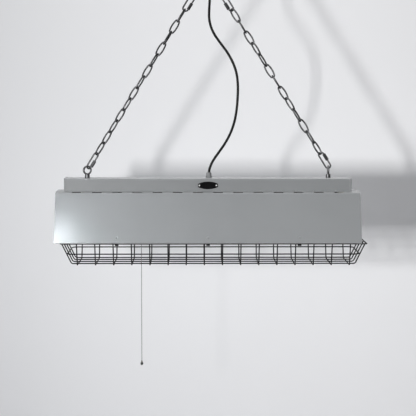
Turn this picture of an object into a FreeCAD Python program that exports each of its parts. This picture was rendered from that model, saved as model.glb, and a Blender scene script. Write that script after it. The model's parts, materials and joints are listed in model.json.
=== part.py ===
import FreeCAD, Part
import math
import os

# A workshop pendant light: a slotted trough reflector under a folded spine, hung on two leaning chains.
# Millimetres. +Z is up, +X runs along the light, and -Y is its front.
# The origin is the middle of the ceiling plate's top face.

V = FreeCAD.Vector
X_AXIS = V(1, 0, 0)
Y_AXIS = V(0, 1, 0)
Z_AXIS = V(0, 0, 1)
TINY = 1e-6
CUT_OVER = 1.0

# Ceiling plate and cord grip
PLATE_LENGTH = 140.0
PLATE_WIDTH = 50.0
PLATE_THICKNESS = 4.0
PLATE_CORNER = 10.0
PLATE_HOLE_SPACING = 116.0
PLATE_HOLE = 5.5
GRIP_X = 5.0
GRIP_FLANGE = 18.0
GRIP_FLANGE_HEIGHT = 3.0
GRIP_BODY = 13.0
GRIP_SPIGOT = 10.0

# Eye bolts, the same kind in the ceiling plate and in the spine
EYE_WIRE = 4.5
EYE_RING_OUTER = 24.0
EYE_RING_HEIGHT = 19.0
EYE_COLLAR = 12.8
EYE_COLLAR_TOP = 11.0
EYE_COLLAR_HEIGHT = 9.0
EYE_SHANK = 6.0
EYE_SPACING = 598.0
EYE_LEFT_TURN = 30.0
EYE_RIGHT_TURN = 90.0
CEILING_EYE_TURN = 90.0
CEILING_EYE_LEFT = 37.5
WASHER_OUTER = 18.0
WASHER_THICKNESS = 1.6
NUT_FLATS = 10.0
NUT_HEIGHT = 5.0
THREAD_END = 2.0

# Chains: roll is how far a link is turned from facing the front
LINK_WIRE = 4.0
LINK_PITCH = 32.0
LINK_WIDTH = 17.6
LINK_END_RADIUS = 5.2
LINK_SLACK = 0.3
LINK_COUNT = 13
HANG_ROUNDS = 12
LEFT_TOP_ROLL = -8.0
LEFT_ROLL_STEP = -2.8
RIGHT_ROLLS_FROM_TOP = (-31, 84, 12, -54, 60, -7, 90, 18, -48, 66, -2, -71, 43)

# Quick links and their screw sleeves
QUICK_WIRE = 4.0
QUICK_INNER_LENGTH = 40.5
QUICK_WIDTH = 17.5
QUICK_MOUTH = 8.0
QUICK_EYE_GAP = 0.7
SLEEVE_LENGTH = 17.5
SLEEVE_FLATS = 7.2
SLEEVE_OFFSET = 5.9
SLEEVE_CLEARANCE = 0.08
LEFT_LOWER_ROLL = -38.0
LEFT_UPPER_ROLL = 10.0
RIGHT_LOWER_ROLL = -22.0
RIGHT_UPPER_ROLL = 31.0

# Lamp and its holders
LAMP_DIAMETER = 38.0
LAMP_WALL = 0.9
LAMP_LENGTH = 590.0
LAMP_CAP_LENGTH = 20.0
LAMP_CAP_WALL = 0.5
LAMP_DROP = 47.0
PIN_DIAMETER = 2.35
PIN_SPACING = 12.7
PIN_LENGTH = 7.1
HOLDER_GAP = 0.6
HOLDER_DEPTH = 18.0
HOLDER_WIDTH = 30.0
ROTOR_DIAMETER = 20.0
ROTOR_DEPTH = 8.5
ROTOR_PLAY = 0.3
ROTOR_SLOT = 2.8
HOLDER_SLOT = 3.2

# Starter and its holder
STARTER_GAP = 9.4
STARTER_END_GAP = 8.5
STARTER_DIAMETER = 21.5
STARTER_LENGTH = 34.0
STARTER_PIN = 4.0
STARTER_PIN_SPACING = 12.7
STARTER_PIN_LENGTH = 4.0
STARTER_SEAT = 9.0
STARTER_PLAY = 0.35
STARTER_HOLDER_SIDE = 30.0
STARTER_HOLDER_HEIGHT = 16.0
STARTER_X = LAMP_LENGTH / 2 + HOLDER_GAP + HOLDER_DEPTH + STARTER_GAP + STARTER_HOLDER_SIDE / 2

# Reflector
REFLECTOR_SHEET = 0.8
REFLECTOR_BEND = 1.2
SHOULDER_HALF_WIDTH = 56.0
SHOULDER_DROP = 2.9
MOUTH_HALF_WIDTH = 104.0
SKIRT_HEIGHT = 119.0
HEM_HEIGHT = 8.0
END_SHEET = 0.8
END_FLANGE = 12.0
REFLECTOR_LENGTH = 2 * (STARTER_X + STARTER_HOLDER_SIDE / 2 + STARTER_END_GAP + END_FLANGE)
SLOT_COUNT = 14
SLOT_FROM_END = 39.5
SLOT_LENGTH = 24.5
SLOT_PITCH = (REFLECTOR_LENGTH - 2 * SLOT_FROM_END - SLOT_LENGTH) / (SLOT_COUNT - 1)
SLOT_WIDTH = 16.0
SLOT_FROM_FOLD = 0.6
SLOT_CORNER = 2.7

# Spine
SPINE_SETBACK = 18.8
SPINE_LENGTH = REFLECTOR_LENGTH - 2 * SPINE_SETBACK
SPINE_WIDTH = 62.0
SPINE_HEIGHT = 31.0
SPINE_SHEET = 1.0
SPINE_BEND = 1.4
CAP_SHEET = 0.8
CAP_LIP = 4.0

# Badge
BADGE_LENGTH = 49.0
BADGE_HEIGHT = 19.0
BADGE_THICKNESS = 1.0
BADGE_END_HEIGHT = 8.0
BADGE_DROP = 17.0
BADGE_RIVET_SPACING = 42.0
BADGE_RIVET_HEAD = 4.0
BADGE_RIVET_HEAD_HEIGHT = 1.0
BADGE_RIVET_SHANK = 2.4

# Cable gland on the spine
GLAND_X = 2.4
GLAND_FLATS = 13.0
GLAND_BODY_HEIGHT = 5.0
GLAND_CAP = 13.2
GLAND_CAP_HEIGHT = 8.5
GLAND_NOSE_HEIGHT = 2.0
GLAND_NOSE_SLOPE = 1.4
GLAND_THREAD = 10.0
GLAND_LOCKNUT_FLATS = 15.0
GLAND_LOCKNUT_HEIGHT = 3.0
CORD_CLEARANCE = 0.25

# Bridges in the spine and the screws that hold the reflector
BRIDGE_SPACING = 460.0
BRIDGE_WIDTH = 20.0
BRIDGE_SHEET = 1.5
BRIDGE_TAB = 14.0
SCREW_THREAD = 5.0
SCREW_HEAD = 14.0
SCREW_HEAD_HEIGHT = 6.0
SCREW_TAIL = 5.0
SCREW_SLOT_WIDTH = 1.6
SCREW_SLOT_DEPTH = 2.0

# Guard
GUARD_WIRE = 3.0
GUARD_WELD = 0.4
GUARD_SHIFT = 13.2
GUARD_END_GAP = 0.7
GUARD_LENGTH = REFLECTOR_LENGTH - 2 * GUARD_END_GAP
GUARD_SIDE_GAP = 5.0
GUARD_HALF_WIDTH = MOUTH_HALF_WIDTH - GUARD_SIDE_GAP
GUARD_RIM_CORNER = 9.0
GUARD_DEPTH = 51.3
GUARD_END_RUN = 25.5
GUARD_BOTTOM_LENGTH = GUARD_LENGTH - 2 * GUARD_END_RUN
GUARD_SIDE_RUN = 24.0
GUARD_BOTTOM_HALF_WIDTH = GUARD_HALF_WIDTH - GUARD_SIDE_RUN
GUARD_BEND = 6.0
MID_RING_DROP = 26.4
MID_RING_CORNER = 15.0
LONG_WIRE_COUNT = 4
LONG_WIRE_EDGE = 9.0
LONG_WIRE_SPACING = 2 * (GUARD_BOTTOM_HALF_WIDTH - LONG_WIRE_EDGE) / (LONG_WIRE_COUNT - 1)
CROSS_WIRE_COUNT = 16
CROSS_WIRE_END = 14.6
CROSS_WIRE_SPACING = (GUARD_BOTTOM_LENGTH - 2 * CROSS_WIRE_END) / (CROSS_WIRE_COUNT - 1)

# Clips that hold the guard's rim
CLIP_SHEET = 0.8
CLIP_WIDTH = 9.0
CLIP_SPANS = 5
CLIP_SPACING = CLIP_SPANS * CROSS_WIRE_SPACING
CLIP_PLAY = 0.3
CLIP_LEG = 4.6
CLIP_TONGUE = 20.0
CLIP_GAP = 0.3
CLIP_RIVET_HEIGHT = 14.0
CLIP_RIVET_SHANK = 3.0
CLIP_RIVET_HEAD = 6.0
CLIP_RIVET_HEAD_HEIGHT = 1.2

# Control gear in the spine
CHOKE_X = -105.0
CHOKE_LENGTH = 150.0
CHOKE_WIDTH = 41.0
CHOKE_HEIGHT = 27.0
CHOKE_Y = 0.3
CHOKE_FOOT = 12.0
CHOKE_FOOT_THICKNESS = 1.5
CAPACITOR_X = 165.0
CAPACITOR_DIAMETER = 25.0
CAPACITOR_LENGTH = 62.0
CAPACITOR_STUD = 8.0
CAPACITOR_STUD_LENGTH = 9.0
CAPACITOR_CLIP_WIDTH = 14.0
CAPACITOR_CLIP_SHEET = 1.0
TERMINAL_X = 60.0
TERMINAL_LENGTH = 46.0
TERMINAL_WIDTH = 20.0
TERMINAL_HEIGHT = 15.0
TERMINAL_WAYS = 4
TERMINAL_BORE = 3.2
EARTH_X = 105.0
EARTH_STUD = 4.0
EARTH_LENGTH = 12.0
EARTH_NUT_FLATS = 7.0
EARTH_NUT_HEIGHT = 3.2
LEAD_DIAMETER = 2.2
LEAD_Y = 25.0
LEAD_END_Y = 12.5
LEAD_BEND = 4.4
LEAD_GAP = 0.05
WIRE_HOLE = 8.0

# Pull switch, its cord and bead
SWITCH_X = -164.0
SWITCH_INNER_Y = -18.0
SWITCH_LENGTH = 36.0
SWITCH_DEPTH = 26.0
SWITCH_HEIGHT = 26.0
SWITCH_WALL = 2.0
SWITCH_LID = 1.6
SWITCH_STEP = 1.8
SWITCH_NOZZLE = 8.0
SWITCH_NOZZLE_TIP = 6.0
SWITCH_NOZZLE_LENGTH = 7.0
PULL_Y = -38.0
PULL_DIAMETER = 1.5
PULL_CLEARANCE = 0.4
PULL_BOTTOM = 452.0
BEAD_DIAMETER = 7.0
BEAD_HEIGHT = 11.0
BEAD_NECK = 3.0
FERRULE_DIAMETER = 4.2
FERRULE_HEIGHT = 4.0
FERRULE_GAP = 0.2
LEVER_DROP = 6.0
LEVER_ARM = 14.0
LEVER_WIDTH = 8.0
LEVER_THICKNESS = 2.0
LEVER_EYE = 6.0
LEVER_FORK = 2.6
LEVER_TIP = 3.5
LEVER_PIN = 2.5
LEVER_PIN_CLEARANCE = 0.05

# Power cord: its route in the plane Y = 0, as (X, height above the spine's top)
CORD_DIAMETER = 6.2
CORD_ARC_SHARE = 0.45
CORD_ROUTE = (
    (GLAND_X, 2.0),
    (GLAND_X, 15.5),
    (6.2, 29.0),
    (13.6, 44.0),
    (25.6, 61.0),
    (44.4, 87.0),
    (60.0, 118.0),
    (70.4, 156.0),
    (74.5, 203.0),
    (74.4, 241.0),
    (67.6, 274.0),
    (50.2, 308.0),
    (29.8, 334.0),
    (11.2, 361.0),
    (3.2, 388.0),
    (3.0, 411.0),
    (4.6, 433.0),
    (5.0, 451.0),
    (5.0, 465.0),
)


# Shared shapes


def corner_arc(before, corner, after, radius):
    """Start, middle and end of the arc that rounds one corner of a route."""
    to_before = (before - corner).normalize()
    to_after = (after - corner).normalize()
    half = to_before.getAngle(to_after) / 2
    reach = radius / math.tan(half)
    middle_way = (to_before + to_after).normalize()
    middle = corner + middle_way * (radius / math.sin(half) - radius)
    return corner + to_before * reach, middle, corner + to_after * reach


def rounded_path(points, radii):
    """An open route of straight runs with tangent arcs; radii has one value for each inner point."""
    edges = []
    here = points[0]
    for before, corner, after, radius in zip(points, points[1:], points[2:], radii):
        start, middle, end = corner_arc(before, corner, after, radius)
        edges.append(Part.LineSegment(here, start).toShape())
        edges.append(Part.Arc(start, middle, end).toShape())
        here = end
    edges.append(Part.LineSegment(here, points[-1]).toShape())
    return Part.Wire(edges)


def rounded_loop(points, radii):
    """A closed outline; a radius of 0 keeps a corner sharp."""
    count = len(points)
    stops = []
    for i, corner in enumerate(points):
        if radii[i] > 0:
            stops.append(corner_arc(points[i - 1], corner, points[(i + 1) % count], radii[i]))
        else:
            stops.append((corner, None, corner))
    edges = []
    for i, (start, middle, end) in enumerate(stops):
        if middle is not None:
            edges.append(Part.Arc(start, middle, end).toShape())
        following = stops[(i + 1) % count][0]
        if end.distanceToPoint(following) > TINY:
            edges.append(Part.LineSegment(end, following).toShape())
    return Part.Wire(edges)


def swept(path, diameter):
    """A round wire along an open path."""
    first = path.OrderedEdges[0]
    start = first.valueAt(first.FirstParameter)
    along = first.tangentAt(first.FirstParameter)
    section = Part.Wire([Part.makeCircle(diameter / 2, start, along)])
    return path.makePipeShell([section], True, False)


def wire_loop(length, width, corner, diameter):
    """A closed wire loop in the XY plane: straight sides and four rounded corners, on its centre line."""
    straight_x = length / 2 - corner
    straight_y = width / 2 - corner
    pieces = []
    for quarter in range(4):
        along_x = quarter % 2 == 1
        run = 2 * (straight_x if along_x else straight_y)
        side = width / 2 if along_x else length / 2
        bend_at = straight_y if along_x else straight_x
        half_run = run / 2
        disc = Part.Face(Part.Wire([Part.makeCircle(diameter / 2, V(side, -half_run, 0), Y_AXIS)]))
        parts = []
        if run > TINY:
            parts.append(disc.extrude(V(0, run, 0)))
        end_disc = disc.translated(V(0, run, 0))
        parts.append(end_disc.revolve(V(bend_at, half_run, 0), Z_AXIS, 90))
        for part in parts:
            part.rotate(V(0, 0, 0), Z_AXIS, 90 * quarter)
            pieces.append(part)
    return pieces[0].multiFuse(pieces[1:]).removeSplitter().Solids[0]


def oval_loop(length, width, end_radius, diameter):
    """A closed wire loop in the XY plane: two bowed sides and two rounder ends, on its centre line."""
    reach = length / 2 - end_radius
    half = width / 2
    side_radius = (reach**2 + half**2 - end_radius**2) / (2 * (half - end_radius))
    turn = math.asin(reach / (side_radius - end_radius))
    side_middle = V(0, half - side_radius, 0)
    outward = V(math.sin(turn), math.cos(turn), 0)
    joint = side_middle + outward * side_radius
    along = V(math.cos(turn), -math.sin(turn), 0)
    disc = Part.Face(Part.Wire([Part.makeCircle(diameter / 2, joint, along)]))
    side = disc.revolve(side_middle, Z_AXIS, 2 * math.degrees(turn))
    end = disc.revolve(V(reach, 0, 0), Z_AXIS, 2 * math.degrees(turn) - 180)
    pieces = []
    for part in (side, end):
        other = part.copy()
        other.rotate(V(0, 0, 0), Z_AXIS, 180)
        pieces += [part, other]
    return pieces[0].multiFuse(pieces[1:]).removeSplitter().Solids[0]


def hexagon(flats, height, base):
    """A hexagonal prism standing on base."""
    corner = flats / math.sqrt(3)
    points = [
        base + V(corner * math.cos(math.radians(60 * i)), corner * math.sin(math.radians(60 * i)), 0)
        for i in range(6)
    ]
    return Part.Face(Part.makePolygon(points + points[:1])).extrude(V(0, 0, height))


def rod(diameter, base, along, length):
    return Part.makeCylinder(diameter / 2, length, base, along)


def block(size_x, size_y, size_z, low):
    return Part.makeBox(size_x, size_y, size_z, low)


def prism_x(points, radii, x_from, x_to):
    """An outline of (y, z) points, extruded along X."""
    outline = rounded_loop([V(x_from, y, z) for y, z in points], radii)
    return Part.Face(outline).extrude(V(x_to - x_from, 0, 0))


def shifted(points, distance):
    """An open row of (y, z) points moved sideways by distance, to the right of its direction."""
    moved = []
    for i, (y, z) in enumerate(points):
        ways = []
        for a, b in ((i - 1, i), (i, i + 1)):
            if 0 <= a and b < len(points):
                dy = points[b][0] - points[a][0]
                dz = points[b][1] - points[a][1]
                size = math.hypot(dy, dz)
                ways.append((dz / size, -dy / size))
        n_y = sum(way[0] for way in ways)
        n_z = sum(way[1] for way in ways)
        scale = distance / (n_y * ways[0][0] + n_z * ways[0][1])
        moved.append((y + n_y * scale, z + n_z * scale))
    return moved


def mirrored(points):
    return [(-y, z) for y, z in reversed(points)]


def cut_all(shape, tools):
    return shape.cut(Part.makeCompound(tools))


def save(name, shapes):
    """Write one sub-part, as one solid or as a group of separate solids."""
    solids = [solid for shape in shapes for solid in shape.Solids]
    for solid in solids:
        if not solid.isValid():
            print("not valid:", name)
    whole = solids[0] if len(solids) == 1 else Part.makeCompound(solids)
    whole.exportStep("parts/" + name + ".step")


# Where the chains run: each side goes from the spine's eye to the ceiling's eye in one straight line

EYE_RING_RADIUS = (EYE_RING_OUTER - EYE_WIRE) / 2
QUICK_LINE = QUICK_INNER_LENGTH + QUICK_WIRE
LINK_LINE = LINK_PITCH + LINK_SLACK + LINK_WIRE
EYE_REACH = (EYE_WIRE + QUICK_WIRE) / 2 + QUICK_EYE_GAP
LINK_REACH = (LINK_WIRE + QUICK_WIRE) / 2 + LINK_SLACK
LINKS_LENGTH = LINK_COUNT * LINK_PITCH + LINK_WIRE + LINK_SLACK
CHAIN_RUN = LINKS_LENGTH + 2 * (QUICK_LINE - LINK_REACH - EYE_REACH)


def ring_contact(turn, pull):
    """From a ring's centre to the middle of its wire where a link pulls on it."""
    flat = V(math.cos(math.radians(turn)), math.sin(math.radians(turn)), 0)
    angle = math.atan2(pull.z, pull.dot(flat))
    return flat * (EYE_RING_RADIUS * math.cos(angle)) + Z_AXIS * (EYE_RING_RADIUS * math.sin(angle))


def left_hang():
    """Low and high ends of the left chain line, with heights from the spine's top.

    The line's lean and its place on the ring depend on each other, so they are settled in rounds.
    """
    pull = Z_AXIS
    for _ in range(HANG_ROUNDS):
        low = V(-EYE_SPACING / 2, 0, EYE_RING_HEIGHT) + ring_contact(EYE_LEFT_TURN, pull)
        across = V(-CEILING_EYE_LEFT - low.x, -low.y, 0)
        high = low + across + Z_AXIS * math.sqrt(CHAIN_RUN**2 - across.Length**2)
        pull = (high - low).normalize()
    return low, high


LEFT_LOW, LEFT_HIGH = left_hang()
RIGHT_LOW = V(EYE_SPACING / 2, 0, EYE_RING_HEIGHT + EYE_RING_RADIUS)
CEILING_EYE_RIGHT = RIGHT_LOW.x - math.sqrt(CHAIN_RUN**2 - (LEFT_HIGH.z - RIGHT_LOW.z) ** 2)
RIGHT_HIGH = V(CEILING_EYE_RIGHT, 0, LEFT_HIGH.z)

SWING_HEIGHT = LEFT_HIGH.z + EYE_RING_RADIUS
DROP = SWING_HEIGHT + EYE_RING_HEIGHT + PLATE_THICKNESS
SPINE_TOP = -DROP
FLAT_TOP = SPINE_TOP - SPINE_HEIGHT
FLAT_UNDER = FLAT_TOP - REFLECTOR_SHEET
SPINE_ROOF = SPINE_TOP - SPINE_SHEET
FOLD_Z = FLAT_TOP - SHOULDER_DROP
MOUTH_Z = FOLD_Z - SKIRT_HEIGHT
CORD_BORE = CORD_DIAMETER + 2 * CORD_CLEARANCE


def at_spine(point):
    """A point with its height measured from the spine's top, in the part's own frame."""
    return point + Z_AXIS * SPINE_TOP


class Line:
    """One chain line, with the directions that a link turned by some roll needs."""

    def __init__(self, low, high):
        self.low = at_spine(low)
        self.along = (high - low).normalize()
        self.face = V(self.along.z, 0, -self.along.x).normalize()
        self.out = Y_AXIS - self.along * Y_AXIS.dot(self.along)
        self.out.normalize()

    def placement(self, distance, roll):
        """The frame of a loop that lies along the line: its X along, its Y across the loop."""
        turn = math.radians(roll)
        across = self.face * math.cos(turn) + self.out * math.sin(turn)
        normal = self.along.cross(across)
        middle = self.low + self.along * distance
        return FreeCAD.Placement(FreeCAD.Matrix(
            self.along.x, across.x, normal.x, middle.x,
            self.along.y, across.y, normal.y, middle.y,
            self.along.z, across.z, normal.z, middle.z,
            0, 0, 0, 1,
        ))


def placed(shape, placement):
    moved = shape.copy()
    moved.Placement = placement.multiply(moved.Placement)
    return moved


LEFT_LINE = Line(LEFT_LOW, LEFT_HIGH)
RIGHT_LINE = Line(RIGHT_LOW, RIGHT_HIGH)
LOWER_QUICK_AT = QUICK_LINE / 2 - EYE_REACH
FIRST_LINK_AT = QUICK_LINE - EYE_REACH - LINK_REACH + LINK_LINE / 2
UPPER_QUICK_AT = CHAIN_RUN - LOWER_QUICK_AT


# Ceiling fitting


def eye_bolt(turn, shank_length):
    """Ring, collar and shank with the collar's seat at the origin and the ring above it."""
    facing = V(-math.sin(math.radians(turn)), math.cos(math.radians(turn)), 0)
    ring = Part.makeTorus(EYE_RING_RADIUS, EYE_WIRE / 2, V(0, 0, EYE_RING_HEIGHT), facing)
    collar = Part.makeCone(EYE_COLLAR / 2, EYE_COLLAR_TOP / 2, EYE_COLLAR_HEIGHT)
    shank = rod(EYE_SHANK, V(0, 0, -shank_length), Z_AXIS, shank_length)
    return ring.multiFuse([collar, shank])


def ceiling_plate():
    x = PLATE_LENGTH / 2
    y = PLATE_WIDTH / 2
    z = -PLATE_THICKNESS
    corners = [V(-x, -y, z), V(x, -y, z), V(x, y, z), V(-x, y, z)]
    plate = Part.Face(rounded_loop(corners, [PLATE_CORNER] * 4)).extrude(Z_AXIS * PLATE_THICKNESS)
    places = [
        (PLATE_HOLE, -PLATE_HOLE_SPACING / 2),
        (PLATE_HOLE, PLATE_HOLE_SPACING / 2),
        (EYE_SHANK, -CEILING_EYE_LEFT),
        (EYE_SHANK, CEILING_EYE_RIGHT),
        (GRIP_SPIGOT, GRIP_X),
    ]
    return cut_all(plate, [rod(size, V(at, 0, z), Z_AXIS, PLATE_THICKNESS) for size, at in places])


def ceiling_eye(x):
    eye = eye_bolt(CEILING_EYE_TURN, PLATE_THICKNESS)
    eye.rotate(V(0, 0, 0), X_AXIS, 180)
    return eye.translated(V(x, 0, -PLATE_THICKNESS))


def ceiling_cord_grip():
    """A bush whose mouth is at the height of the swing axis, so that the cord only bends there."""
    top = V(GRIP_X, 0, -PLATE_THICKNESS)
    down = -Z_AXIS
    flange = rod(GRIP_FLANGE, top, down, GRIP_FLANGE_HEIGHT)
    body = rod(GRIP_BODY, top, down, EYE_RING_HEIGHT)
    spigot = rod(GRIP_SPIGOT, top, Z_AXIS, PLATE_THICKNESS)
    bore = rod(CORD_BORE, V(GRIP_X, 0, 0), down, PLATE_THICKNESS + EYE_RING_HEIGHT)
    return flange.multiFuse([body, spigot]).cut(bore)


# Chains and quick links


def chain(line, rolls_from_top):
    link = oval_loop(LINK_LINE, LINK_WIDTH - LINK_WIRE, LINK_END_RADIUS, LINK_WIRE)
    links = []
    for i, roll in enumerate(reversed(rolls_from_top)):
        links.append(placed(link, line.placement(FIRST_LINK_AT + i * LINK_PITCH, roll)))
    return links


def left_rolls():
    """The left chain twists steadily from top to bottom."""
    return [90 * ((i + 1) % 2) + LEFT_TOP_ROLL + i * LEFT_ROLL_STEP for i in range(LINK_COUNT)]


def right_rolls():
    """The right chain hangs twisted unevenly, as photographed; further links repeat its turns."""
    return [RIGHT_ROLLS_FROM_TOP[i % len(RIGHT_ROLLS_FROM_TOP)] for i in range(LINK_COUNT)]


def quick_link(side, end):
    """A link with a mouth in one leg; side and end are +1 or -1 and say where its sleeve sits."""
    leg = side * (QUICK_WIDTH - QUICK_WIRE) / 2
    loop = wire_loop(QUICK_LINE, QUICK_WIDTH - QUICK_WIRE, (QUICK_WIDTH - QUICK_WIRE) / 2, QUICK_WIRE)
    mouth_low = V(end * SLEEVE_OFFSET - QUICK_MOUTH / 2, leg - QUICK_WIRE, -QUICK_WIRE)
    return loop.cut(block(QUICK_MOUTH, 2 * QUICK_WIRE, 2 * QUICK_WIRE, mouth_low))


def quick_sleeve(side, end):
    leg = side * (QUICK_WIDTH - QUICK_WIRE) / 2
    sleeve = hexagon(SLEEVE_FLATS, SLEEVE_LENGTH, V(0, 0, -SLEEVE_LENGTH / 2))
    bore = rod(QUICK_WIRE + 2 * SLEEVE_CLEARANCE, V(0, 0, -SLEEVE_LENGTH / 2), Z_AXIS, SLEEVE_LENGTH)
    nut = sleeve.cut(bore)
    nut.rotate(V(0, 0, 0), Y_AXIS, 90)
    return nut.translated(V(end * SLEEVE_OFFSET, leg, 0))


# Spine


def spine_channel():
    half = SPINE_WIDTH / 2
    outer = [(-half, FLAT_TOP), (-half, SPINE_TOP), (half, SPINE_TOP), (half, FLAT_TOP)]
    inner = shifted(outer, SPINE_SHEET)
    bend = SPINE_BEND
    radii = [0, bend + SPINE_SHEET, bend + SPINE_SHEET, 0, 0, bend, bend, 0]
    x = SPINE_LENGTH / 2 - CAP_SHEET
    channel = prism_x(outer + inner[::-1], radii, -x, x)
    holes = [rod(GLAND_THREAD, V(GLAND_X, 0, SPINE_ROOF), Z_AXIS, SPINE_SHEET)]
    for side in (-1, 1):
        eye_at = V(side * EYE_SPACING / 2, 0, SPINE_ROOF)
        holes.append(rod(EYE_SHANK, eye_at, Z_AXIS, SPINE_SHEET))
        rivet_at = V(side * BADGE_RIVET_SPACING / 2, -half, SPINE_TOP - BADGE_DROP)
        holes.append(rod(BADGE_RIVET_SHANK, rivet_at, Y_AXIS, SPINE_SHEET))
    holes.append(rod(EARTH_STUD, V(EARTH_X, half, SPINE_TOP - SPINE_HEIGHT / 2), -Y_AXIS, SPINE_SHEET))
    return cut_all(channel, holes)


def spine_end_cap(side):
    """A shallow pan over one end of the channel; side is +1 on the right."""
    half = SPINE_WIDTH / 2 + CAP_SHEET
    top = SPINE_TOP + CAP_SHEET
    bend = SPINE_BEND + SPINE_SHEET
    outer = [(-half, FLAT_TOP), (-half, top), (half, top), (half, FLAT_TOP)]
    inner = shifted(outer, CAP_SHEET)
    end = side * SPINE_LENGTH / 2
    rim = end - side * (CAP_SHEET + CAP_LIP)
    pan = prism_x(outer, [0, bend + CAP_SHEET, bend + CAP_SHEET, 0], end, rim)
    hollow = prism_x(inner, [0, bend, bend, 0], end - side * CAP_SHEET, rim)
    return pan.cut(hollow)


def badge_outline(y):
    """A pointed oval with blunt ends, from two arcs, in the plane of that y."""
    x = BADGE_LENGTH / 2
    end = BADGE_END_HEIGHT / 2
    middle = SPINE_TOP - BADGE_DROP
    top = Part.Arc(V(-x, y, middle + end), V(0, y, middle + BADGE_HEIGHT / 2), V(x, y, middle + end))
    bottom = Part.Arc(V(x, y, middle - end), V(0, y, middle - BADGE_HEIGHT / 2), V(-x, y, middle - end))
    right = Part.LineSegment(V(x, y, middle + end), V(x, y, middle - end))
    left = Part.LineSegment(V(-x, y, middle - end), V(-x, y, middle + end))
    return Part.Wire([edge.toShape() for edge in (top, right, bottom, left)])


def badge_plate():
    front = -SPINE_WIDTH / 2
    plate = Part.Face(badge_outline(front)).extrude(-Y_AXIS * BADGE_THICKNESS)
    holes = []
    for side in (-1, 1):
        at = V(side * BADGE_RIVET_SPACING / 2, front, SPINE_TOP - BADGE_DROP)
        holes.append(rod(BADGE_RIVET_SHANK, at, -Y_AXIS, BADGE_THICKNESS))
    return cut_all(plate, holes)


def dome(diameter, height, base, along):
    """A round head, flat on its base."""
    radius = (diameter**2 / 4 + height**2) / (2 * height)
    ball = Part.makeSphere(radius, base - along * (radius - height))
    return ball.common(rod(diameter + height, base, along, height))


def badge_rivet(side):
    at = V(side * BADGE_RIVET_SPACING / 2, -SPINE_WIDTH / 2 - BADGE_THICKNESS, SPINE_TOP - BADGE_DROP)
    head = dome(BADGE_RIVET_HEAD, BADGE_RIVET_HEAD_HEIGHT, at, -Y_AXIS)
    return head.fuse(rod(BADGE_RIVET_SHANK, at, Y_AXIS, BADGE_THICKNESS + SPINE_SHEET))


def eye_washer(side):
    at = V(side * EYE_SPACING / 2, 0, SPINE_ROOF)
    return rod(WASHER_OUTER, at, -Z_AXIS, WASHER_THICKNESS).cut(rod(EYE_SHANK, at, -Z_AXIS, WASHER_THICKNESS))


def eye_nut(side):
    at = V(side * EYE_SPACING / 2, 0, SPINE_ROOF - WASHER_THICKNESS - NUT_HEIGHT)
    return hexagon(NUT_FLATS, NUT_HEIGHT, at).cut(rod(EYE_SHANK, at, Z_AXIS, NUT_HEIGHT))


def gland_bore():
    below = GLAND_LOCKNUT_HEIGHT + SPINE_SHEET
    above = GLAND_BODY_HEIGHT + GLAND_CAP_HEIGHT
    return rod(CORD_BORE, V(GLAND_X, 0, SPINE_TOP - below), Z_AXIS, below + above)


def gland_body():
    base = V(GLAND_X, 0, SPINE_TOP)
    tail = SPINE_SHEET + GLAND_LOCKNUT_HEIGHT
    body = hexagon(GLAND_FLATS, GLAND_BODY_HEIGHT, base)
    return body.fuse(rod(GLAND_THREAD, base, -Z_AXIS, tail)).cut(gland_bore())


def gland_cap():
    base = V(GLAND_X, 0, SPINE_TOP + GLAND_BODY_HEIGHT)
    shoulder = GLAND_CAP_HEIGHT - GLAND_NOSE_HEIGHT
    skirt = rod(GLAND_CAP, base, Z_AXIS, shoulder)
    tip = GLAND_CAP / 2 - GLAND_NOSE_SLOPE
    nose = Part.makeCone(GLAND_CAP / 2, tip, GLAND_NOSE_HEIGHT, base + Z_AXIS * shoulder)
    return skirt.fuse(nose).cut(gland_bore())


def gland_locknut():
    base = V(GLAND_X, 0, SPINE_ROOF - GLAND_LOCKNUT_HEIGHT)
    nut = hexagon(GLAND_LOCKNUT_FLATS, GLAND_LOCKNUT_HEIGHT, base)
    return nut.cut(rod(GLAND_THREAD, base, Z_AXIS, GLAND_LOCKNUT_HEIGHT))


# Reflector

OUTER_HALF = [(SPINE_WIDTH / 2, FLAT_TOP), (SHOULDER_HALF_WIDTH, FOLD_Z), (MOUTH_HALF_WIDTH, MOUTH_Z)]
OUTER_LINE = mirrored(OUTER_HALF) + OUTER_HALF
SKIRT_LENGTH = math.hypot(MOUTH_HALF_WIDTH - SHOULDER_HALF_WIDTH, SKIRT_HEIGHT)
SKIRT_DOWN = ((MOUTH_HALF_WIDTH - SHOULDER_HALF_WIDTH) / SKIRT_LENGTH, -SKIRT_HEIGHT / SKIRT_LENGTH)
SKIRT_IN = (SKIRT_DOWN[1], -SKIRT_DOWN[0])


def on_skirt(up, deep):
    """A (y, z) point of the rear skirt, so far up from its edge and so deep inside its outer face."""
    y = MOUTH_HALF_WIDTH - SKIRT_DOWN[0] * up + SKIRT_IN[0] * deep
    return y, MOUTH_Z - SKIRT_DOWN[1] * up + SKIRT_IN[1] * deep


def inner_line(depth):
    """The line so deep inside the outer faces, from the front edge over the top to the rear edge."""
    half = shifted(OUTER_LINE, depth)[3:5] + [on_skirt(HEM_HEIGHT, depth)]
    return mirrored(half) + half


def hem_points():
    """The doubled edge of the rear skirt, going down."""
    sheet = REFLECTOR_SHEET
    return [on_skirt(HEM_HEIGHT, sheet), on_skirt(HEM_HEIGHT, 2 * sheet), on_skirt(0, 2 * sheet)]


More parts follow.
